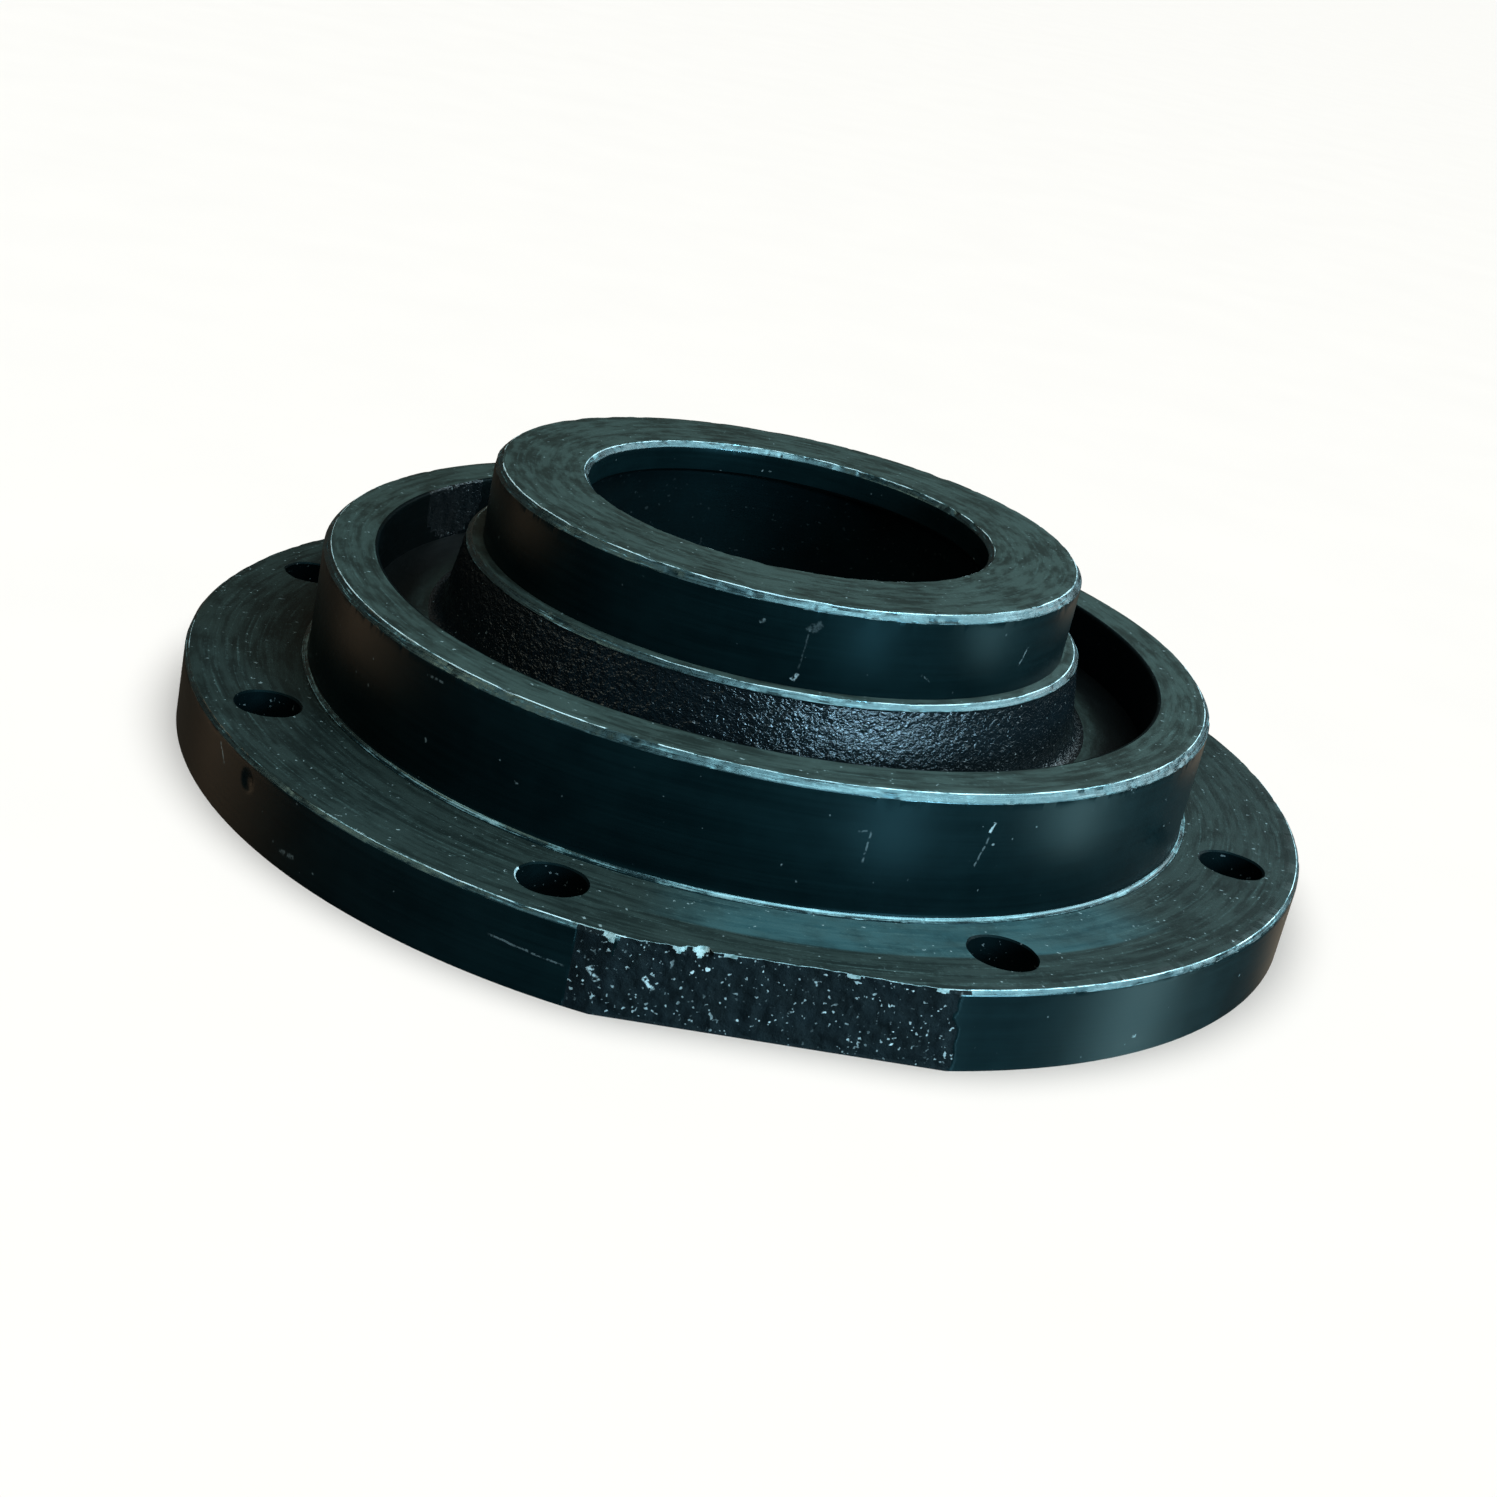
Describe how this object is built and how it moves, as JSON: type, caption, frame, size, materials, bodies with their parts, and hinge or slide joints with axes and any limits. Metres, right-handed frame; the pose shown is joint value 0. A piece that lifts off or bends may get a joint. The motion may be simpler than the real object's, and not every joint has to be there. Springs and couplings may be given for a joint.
{
  "type": "stepped neck flange",
  "caption": "Stepped cast-iron neck flange: round drilled plate with one rim flat, raised pilot ring around an annular groove, and a turned nose with a lipped bore.",
  "frame": {"origin": "centre of the underside of the flange plate, on the bore axis", "axes": "+Z along the bore axis from the underside towards the nose; -Y out of the flat on the rim, midway between two bolt holes"},
  "size_m": [0.25, 0.2462, 0.065],
  "materials": {
    "machined_face": "turned and blackened, oily",
    "machined_ring": "turned and blackened, oily",
    "cast_skin": "rough as cast and blackened, with turned ledge and groove floor",
    "machined_nose": "turned and blackened, oily"
  },
  "bodies": {
    "root": {"flange_plate": "machined_face", "pilot_ring": "machined_ring", "cast_hub": "cast_skin", "nose_ring": "machined_nose"}
  },
  "joints": []
}
